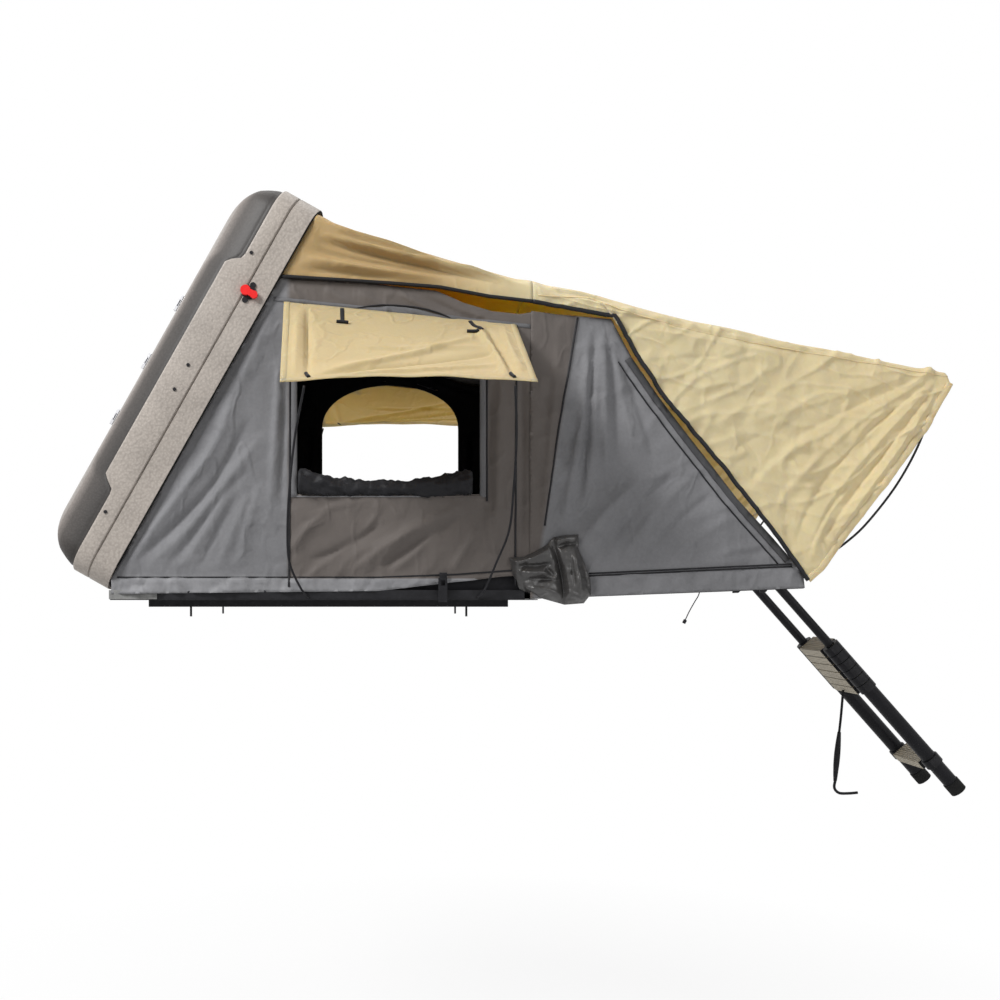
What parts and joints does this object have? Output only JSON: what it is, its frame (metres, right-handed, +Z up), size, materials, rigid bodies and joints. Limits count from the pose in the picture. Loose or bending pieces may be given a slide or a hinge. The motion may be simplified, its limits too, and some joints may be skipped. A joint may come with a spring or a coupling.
{
  "type": "roof top tent",
  "caption": "Fold-out roof top tent with a hinged hard lid, base tray, fold-out floor on a hinge, fabric body with rain fly and window awnings, and a telescopic ladder.",
  "frame": {"origin": "centre of the rack bolt pattern on the underside of the roof-rack rails", "axes": "+X from the lid hinge towards the ladder, +Y across the tent away from the pictured side, +Z up"},
  "size_m": [3.3692, 2.109, 2.1602],
  "materials": {
    "black_frame": "satin black powder coat",
    "steel": "zinc plated",
    "panel": "matt sandwich panel skin",
    "grey_angle": "satin grey",
    "black_plastic": "moulded black plastic",
    "shell": "hammered grain",
    "red_plastic": "gloss red",
    "tent_cloth": "woven grey",
    "fly_cloth": "coated khaki weave",
    "mesh_cloth": "black",
    "pad": "knitted cover",
    "webbing": "black webbing",
    "chrome_rod": "polished",
    "alu": "anodised",
    "ladder_black": "black anodised tubes with moulded collars and ribbed treads",
    "rubber": "moulded"
  },
  "bodies": {
    "base": {"mount_rails": "black_frame", "rack_bolts": "steel", "base_skin": "black_frame", "base_frame": "black_frame", "base_panel": "panel", "base_corners": "grey_angle", "hinge_pins": "steel", "lid_hinge_base": "black_frame", "floor_hinge_base": "black_frame", "latch_keepers": "black_plastic", "strut_base_brackets": "black_frame", "mattress_base": "pad", "roof_inner": "tent_cloth", "fly_roof": "fly_cloth"},
    "wall_body_near": {"wall_near": "tent_cloth", "window_roll_near": "mesh_cloth", "awning_near": "fly_cloth", "awning_rods_near": "black_frame"},
    "wall_body_far": {"wall_far": "tent_cloth", "window_roll_far": "mesh_cloth", "awning_far": "fly_cloth", "awning_rods_far": "black_frame"},
    "lid": {"lid_shell": "shell", "lid_rim": "shell", "lid_liner": "tent_cloth", "lid_rivets": "black_plastic", "lid_fittings": "alu", "lid_hinge_lid": "black_frame", "catch_plates": "black_plastic", "strut_lid_brackets": "black_frame"},
    "catch_body_near": {"catch_near": "red_plastic"},
    "catch_body_far": {"catch_far": "red_plastic"},
    "struts": {"strut_cylinders": "black_frame"},
    "strut_ends": {"strut_rods": "chrome_rod"},
    "floor": {"floor_frame": "black_frame", "floor_panel": "panel", "hood_rod_plates": "alu", "mattress_floor": "pad", "floor_hinge_floor": "black_frame", "hoop_brackets": "black_frame", "ladder_blocks": "black_frame", "side_near": "tent_cloth", "side_far": "tent_cloth", "tent_front": "tent_cloth", "fly_hood": "fly_cloth", "hood_rods": "black_frame", "pouch": "tent_cloth", "floor_cord": "webbing"},
    "hoop_body": {"hoop": "alu"},
    "ladder_top": {"ladder_head": "black_frame"},
    "ladder_s1": {"ladder_1": "ladder_black"},
    "ladder_s2": {"ladder_2": "ladder_black"},
    "ladder_s3": {"ladder_3": "ladder_black"},
    "ladder_s4": {"ladder_4": "ladder_black"},
    "ladder_s5": {"ladder_5": "ladder_black"},
    "ladder_s6": {"ladder_6": "ladder_black"},
    "ladder_s7": {"ladder_7": "ladder_black", "ladder_bottom_rung": "ladder_black", "ladder_feet": "rubber", "ladder_strap": "webbing"}
  },
  "joints": [
    {"name": "lid_hinge", "type": "hinge", "parent": "base", "child": "lid", "pos_m": [-0.735, 0, 0.076], "axis": [0, 1, 0], "range_deg": [0, 60.6], "stiffness_Nm_per_rad": 60, "springref_deg": -143.24, "deforming": ["roof_inner", "fly_roof", "wall_near", "wall_far", "window_roll_near", "window_roll_far", "awning_near", "awning_far", "awning_rods_near", "awning_rods_far"]},
    {"name": "wall_fold_near", "type": "hinge", "parent": "base", "child": "wall_body_near", "pos_m": [0, -0.687, 0.062], "axis": [-1, 0, 0], "range_deg": [0, 90]},
    {"name": "wall_fold_far", "type": "hinge", "parent": "base", "child": "wall_body_far", "pos_m": [0, 0.687, 0.062], "axis": [1, 0, 0], "range_deg": [0, 90]},
    {"name": "catch_turn_near", "type": "hinge", "parent": "lid", "child": "catch_body_near", "pos_m": [-0.25099, -0.717, 1.06129], "axis": [0, 1, 0], "range_deg": [0, 90]},
    {"name": "catch_turn_far", "type": "hinge", "parent": "lid", "child": "catch_body_far", "pos_m": [-0.25099, 0.717, 1.06129], "axis": [0, 1, 0], "range_deg": [0, 90]},
    {"name": "strut_swing", "type": "hinge", "parent": "base", "child": "struts", "pos_m": [-0.605, 0, 0.07], "axis": [0, 1, 0], "range_deg": [0, 80]},
    {"name": "strut_slide", "type": "slide", "parent": "struts", "child": "strut_ends", "axis": [0.155, 0, 0.9879], "range_m": [-0.11, 0]},
    {"name": "floor_fold", "type": "hinge", "parent": "base", "child": "floor", "pos_m": [0.69, 0, 0.104], "axis": [0, -1, 0], "range_deg": [0, 177.8], "deforming": ["side_near", "side_far", "tent_front", "fly_hood", "hood_rods", "pouch", "ladder_strap"]},
    {"name": "hoop_fold", "type": "hinge", "parent": "floor", "child": "hoop_body", "pos_m": [0.76114, 0, 0.07571], "axis": [0, 1, 0], "range_deg": [0, 75]},
    {"name": "ladder_stow", "type": "hinge", "parent": "floor", "child": "ladder_top", "pos_m": [1.64814, 0, 0.06675], "axis": [0, 1, 0], "range_deg": [0, 130]},
    {"name": "ladder_swing", "type": "hinge", "parent": "ladder_top", "child": "ladder_s1", "pos_m": [1.68232, 0, 0.1146], "axis": [0, -1, 0], "range_deg": [-25, 3]},
    {"name": "ladder_slide_1", "type": "slide", "parent": "ladder_s1", "child": "ladder_s2", "axis": [-0.6613, 0, 0.7501], "range_m": [0, 0.26]},
    {"name": "ladder_slide_2", "type": "slide", "parent": "ladder_s2", "child": "ladder_s3", "axis": [-0.6613, 0, 0.7501], "range_m": [-0.26, 0]},
    {"name": "ladder_slide_3", "type": "slide", "parent": "ladder_s3", "child": "ladder_s4", "axis": [-0.6613, 0, 0.7501], "range_m": [-0.26, 0]},
    {"name": "ladder_slide_4", "type": "slide", "parent": "ladder_s4", "child": "ladder_s5", "axis": [-0.6613, 0, 0.7501], "range_m": [-0.26, 0]},
    {"name": "ladder_slide_5", "type": "slide", "parent": "ladder_s5", "child": "ladder_s6", "axis": [-0.6613, 0, 0.7501], "range_m": [-0.26, 0]},
    {"name": "ladder_slide_6", "type": "slide", "parent": "ladder_s6", "child": "ladder_s7", "axis": [-0.6613, 0, 0.7501], "range_m": [-0.26, 0]}
  ],
  "couplings": [
    {"joint": "wall_fold_near", "follows": "lid_hinge", "ratio": 1.4835},
    {"joint": "wall_fold_far", "follows": "lid_hinge", "ratio": 1.467},
    {"joint": "strut_swing", "follows": "lid_hinge", "ratio": 1.2321},
    {"joint": "strut_slide", "follows": "lid_hinge", "m_per_rad": -0.090582},
    {"joint": "hoop_fold", "follows": "floor_fold", "ratio": 0.4162},
    {"joint": "ladder_stow", "follows": "floor_fold", "ratio": 0.72666}
  ]
}
